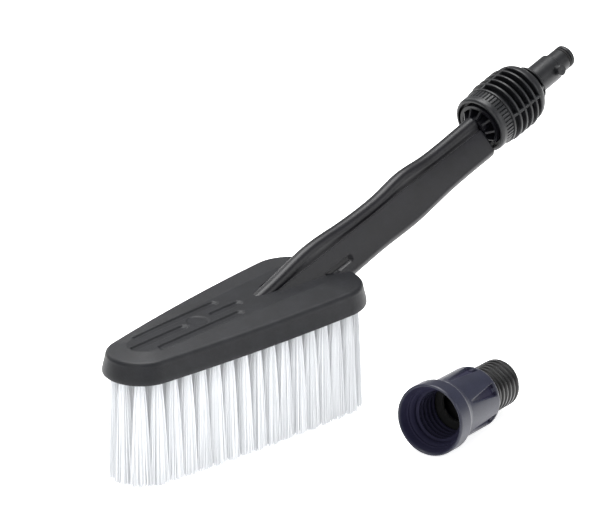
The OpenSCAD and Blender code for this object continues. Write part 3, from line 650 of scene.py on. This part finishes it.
rim = [(16.3, 0.6), (17.4, 0.6), (18.4, 1.3), (18.8, 2.4)] + [(18.8, e) for e in np.linspace(4.6, 11.3, 16)] \
    + [(18.5, 11.6), (14.4, 11.6), (14.4, 4.6), (16.3, 4.6)]
mesh("grip_rim", *revolved(rim, connector_frame, 768, 0.3, knurl), "connector", CAGE, replaces=("grip_cage",),
     slot="connector_plastic", weld=True)
cage = [revolved([(8.95, 13.0), (16.3, 13.0), (16.3, 18.9), (11.1, 18.9), (11.1, NOSE_E), (8.95, NOSE_E)],
                 connector_frame, 96, 0.3),
        revolved([(14.4, 11.4), (16.3, 11.4), (16.3, 13.5), (14.4, 13.5)], connector_frame, 96, 0.2)]
for n_ring, e0 in enumerate(RINGS_E):
    outer_r, inner_r = 20.3 - (0.8 if n_ring == 0 else 0), 15.9 if n_ring < 2 else 10.5
    cage.append(revolved([(inner_r, e0), (outer_r, e0), (outer_r, e0 + 1.6), (inner_r, e0 + 1.6)],
                         connector_frame, 160, 0.55))
cage.append(revolved([(10.2, BAND_E), (19.5, BAND_E), (19.2, BAND_E + 2.4), (18.3, BAND_E + 4.8),
                      (16.4, BAND_E + 7.0), (14.7, BAND_E + 7.0), (10.2, BAND_E + 2.0)],
                     connector_frame, 160, 1.1))
cage.append(revolved([(8.95, NOSE_E), (12.9, NOSE_E), (12.5, NOSE_E + 1.6), (8.95, NOSE_E + 1.6)],
                     connector_frame, 128, 0.5))
mesh("grip_rings", *joined(cage), "connector", CAGE, slot="connector_plastic", weld=True)
ribs = []
for k in range(4):
    turn = k * math.pi / 2
    ribs.append(prism([(15.8, 11.5), (19.3, 11.5), (19.9, 16.9), (20.1, 20), (20.1, BAND_E), (10.4, BAND_E),
                       (10.4, 17.5), (15.8, 17.5)], 0.8, connector_frame, turn))
    ribs.append(prism([(10.4, BAND_E), (18.9, BAND_E + 2.4), (16.2, BAND_E + 6.9), (12.6, NOSE_E + 0.2),
                       (10.4, NOSE_E + 0.2)], 0.8, connector_frame, turn))
mesh("grip_ribs", *joined(ribs), "connector", CAGE, slot="connector_plastic", bevel=0.3, weld=True)

spigot = revolved([(3.5, 17.0), (8.9, 17.0), (8.9, SHOULDER_E - 1), (7.4, SHOULDER_E), (7.4, TIP_E - 5.6),
                   (5.6, TIP_E - 5.6), (5.6, TIP_E - 3.2), (7.4, TIP_E - 3.2), (7.4, TIP_E - 1), (6.4, TIP_E),
                   (3.5, TIP_E)],
                  connector_frame, 128, 0.45)


def lug_frame(p):
    """Turns a shape made about its own axis so that the axis lies across the spigot, at the lugs."""
    return connector_frame(np.stack([p[..., 0], p[..., 2], p[..., 1] + SHOULDER_E - 3.7], -1))


lugs = revolved([(0.02, -12.2), (3.5, -12.2), (3.5, 12.2), (0.02, 12.2)], lug_frame, 64, 0.7)
flange = revolved([(3.5, 13.5), (13.0, 13.5), (13.0, 17.0), (3.5, 17.0)], connector_frame, 96, 0.3)
mesh("spigot", *joined([spigot, lugs, flange]), "connector", CAGE, replaces=("bayonet_spigot",),
     slot="connector_plastic", weld=True)


# ---------------------------------------------------------------- adapter
def helix(a, e, start, end):
    """Thread height 0..1: a trapezoid wave of (e - start) / pitch - a / 2 pi, faded at both ends."""
    phase = ((e - start) / ADAPTER_PITCH - a / (2 * math.pi)) % 1.0
    wave = smooth((0.5 - np.abs(phase - 0.5) - 0.12) / 0.24)
    return wave * smooth((e - start) / 1.2) * smooth((end - e) / 1.2)


def bell_ripple(a, r, e):
    """Inside: thread crests 1.6 high. Outside: six wedge recesses, 0.7 to 2 deep, widening along e."""
    inside = (r > 15.5) & (r < 16.4) & (e > 9) & (e < 33)
    out = np.where(inside, -1.6 * helix(a, e, 10.2, 32.0), 0.0)
    t = np.clip((e - 21) / 26.5, 0, 1)
    near = (a + math.pi / 6) % (math.pi / 3) - math.pi / 6
    gap = (0.8 + 3.2 * t) - np.abs(near) * r
    recess = smooth(gap / 0.7 + 0.3) * smooth((e - 20.6) / 1.0) * smooth((47.9 - e) / 0.6) * (r > 17.9)
    tab = smooth((1.5 - np.abs(near) * r) / 0.5) * smooth((e - 44.8) / 0.8)
    return out - recess * (0.7 + 1.3 * t) * (1 - 0.55 * tab)


lip = [(20.3, 0.7), (20.8, 0.1), (21.2, 0.0), (21.7, 0.35), (22.0, 1.3), (22.0, 11.0), (21.5, 12.4),
       (20.5, 13.6), (19.6, 15.0), (19.2, 17.0)]
side = [(19.0, e) for e in np.linspace(18.5, 49.2, 74)]
tail = [(18.7, 50.2), (17.6, 51.8), (16.1, 52.8), (14.5, 53.0), (12.05, 53.0), (12.05, 47.5), (16.1, 47.5),
        (16.1, 33.5)]
wall = [(16.1, e) for e in np.linspace(33.1, 9.6, 76)]
mouth = [(16.9, 8.2), (17.5, 7.5), (17.9, 7.2), (18.1, 6.2), (18.7, 5.6), (19.5, 3.0)]
bell = mesh("bell_shell", *revolved(lip + side + tail + wall + mouth, adapter_frame, 336, 0.25, bell_ripple),
     "adapter_bell_body", BELL, replaces=("adapter_bell",), slot="bell_plastic", weld=True, sharp=60)
mouth_at, back_at = adapter_frame(np.array([[0.0, 0.0, 0.0], [0.0, 0.0, 1.0]])) / 1000
points = np.empty(len(bell.data.vertices) * 3, np.float32)
bell.data.vertices.foreach_get("co", points)
points = points.reshape(-1, 3) - mouth_at
reach = points @ (back_at - mouth_at) * 1e6
radius = np.sqrt(np.maximum(np.sum(points ** 2, 1) * 1e6 - reach ** 2, 0))
# Painted shade mask: 1 on the bell's inner wall and mouth chamfer, whose colour is darkened as shade in the
# hollow.
hollow_shade = np.maximum(smooth((18.4 - radius) / 0.8) * (reach < 51), smooth((20.6 - radius) / 0.8) * (reach < 8))
inside = bell.data.attributes.new("inside", "FLOAT", "POINT")
inside.data.foreach_set("value", hollow_shade.astype(np.float32))


def nipple_ripple(a, r, e):
    """Outside thread: 1.5 * helix on the root radius of 13.2."""
    return np.where((r > 13) & (e > 53.1), 1.5 * helix(a, e, 53.2, 82.6), 0.0)


shank = [(13.2, e) for e in np.linspace(53.3, 82.4, 110)]
nipple = [(10, 44.5), (15.4, 44.5), (15.4, 47.4), (12, 47.4), (12, 53.2)] + shank + [(12.6, 83.1), (10, 83.1)]
mesh("nipple_shell", *revolved(nipple, adapter_frame, 256, 0.2, nipple_ripple), "adapter_nipple_body",
     NIPPLE, replaces=("adapter_nipple",), slot="nipple_plastic", weld=True, sharp=60)

# ---------------------------------------------------------------- camera, light and floor
scene = bpy.context.scene
cam_data = bpy.data.cameras.new("camera")
cam_data.sensor_width = 36.0
cam_data.sensor_fit = "HORIZONTAL"
cam_data.lens = 5000.0 * 36.0 / 592.0
cam_data.clip_end = 50.0
camera = bpy.data.objects.new("camera", cam_data)
scene.collection.objects.link(camera)
AZ, DIP, DIST = math.radians(41.48), math.radians(22.83), 3.0714
look = Vector((math.cos(DIP) * math.cos(AZ), math.cos(DIP) * math.sin(AZ), -math.sin(DIP)))
camera.location = Vector((0.1306, 0.0628, 0.05)) - look * DIST
camera.rotation_euler = look.to_track_quat("-Z", "Y").to_euler()
scene.camera = camera


def area_light(name, place, target, power, size, size_y=None):
    """Rectangular light at a place, facing a target."""
    data = bpy.data.lights.new(name, "AREA")
    data.energy, data.size = power, size
    if size_y:
        data.shape, data.size_y = "RECTANGLE", size_y
    obj = bpy.data.objects.new(name, data)
    obj.location = place
    obj.rotation_euler = (Vector(target) - Vector(place)).to_track_quat("-Z", "Y").to_euler()
    scene.collection.objects.link(obj)
    return obj


MIDDLE = (0.1, 0.0, 0.08)
area_light("key_top", (0.25, 0.3, 1.6), MIDDLE, 46, 1.2, 1.0)
area_light("left_front", (-1.3, -0.5, 0.9), MIDDLE, 12, 1.0, 1.0)
area_light("right_front", (0.7, -1.4, 0.7), MIDDLE, 9, 0.9, 0.9)
area_light("far_side", (0.2, 1.5, 0.9), MIDDLE, 9, 1.2, 0.8)

world = bpy.data.worlds.new("world")
scene.world = world
world.use_nodes = True
world.node_tree.nodes["Background"].inputs[0].default_value = (1, 1, 1, 1)
world.node_tree.nodes["Background"].inputs[1].default_value = 0.38

floor_mesh = bpy.data.meshes.new("floor")
floor_mesh.from_pydata([(-4, -4, 0), (4, -4, 0), (4, 4, 0), (-4, 4, 0)], [], [(0, 1, 2, 3)])
floor = bpy.data.objects.new("floor", floor_mesh)
scene.collection.objects.link(floor)
floor_mat, floor_at, floor_bsdf = new_material("floor_paper")
plug(floor_bsdf, Base_Color=(floor_at.noise(60.0) * 0.3).mix((0.93, 0.93, 0.93, 1), (0.97, 0.97, 0.97, 1)),
     Roughness=0.9, Emission_Color=(1.0, 1.0, 1.0, 1.0), Emission_Strength=0.7, Specular_IOR_Level=0.0)
floor_mesh.materials.append(floor_mat)
scene.view_settings.view_transform = "Standard"
